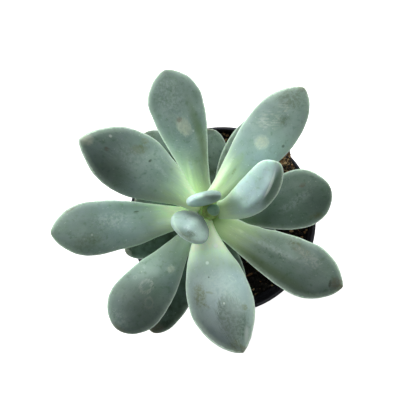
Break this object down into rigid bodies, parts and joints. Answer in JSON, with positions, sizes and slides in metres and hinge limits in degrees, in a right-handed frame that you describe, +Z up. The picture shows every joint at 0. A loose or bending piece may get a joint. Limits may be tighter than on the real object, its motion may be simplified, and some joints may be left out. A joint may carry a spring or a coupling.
{
  "type": "potted succulent plant",
  "caption": "Open rosette of thick, spoon-shaped blue-green leaves on a short leaning stem, standing in soil in a round black nursery pot.",
  "frame": {"origin": "middle of the flat pad under the pot, on the surface that the pot stands on", "axes": "+Z up along the pot's axis; +Y towards the top of the view from above, +X towards its right"},
  "size_m": [0.1384, 0.1336, 0.1522],
  "materials": {
    "pot": "satin black polypropylene",
    "soil": "moist granular potting soil",
    "stem": "smooth fleshy stem with leaf scars",
    "leaf": "matt waxy bloom over blue-green flesh",
    "old_leaf": "matt waxy bloom over darker green flesh"
  },
  "bodies": {
    "root": {"pot": "pot", "soil": "soil", "stem": "stem", "leaf_01": "leaf", "leaf_02": "leaf", "leaf_03": "leaf", "leaf_04": "leaf", "leaf_05": "leaf", "leaf_06": "leaf", "leaf_07": "leaf", "leaf_08": "leaf", "leaf_09": "leaf", "leaf_10": "leaf", "leaf_11": "leaf", "leaf_12": "leaf", "leaf_13": "old_leaf", "leaf_14": "old_leaf", "leaf_15": "old_leaf", "leaf_16": "old_leaf", "leaf_17": "old_leaf", "leaf_18": "old_leaf", "leaf_19": "old_leaf", "leaf_20": "old_leaf"}
  },
  "joints": []
}
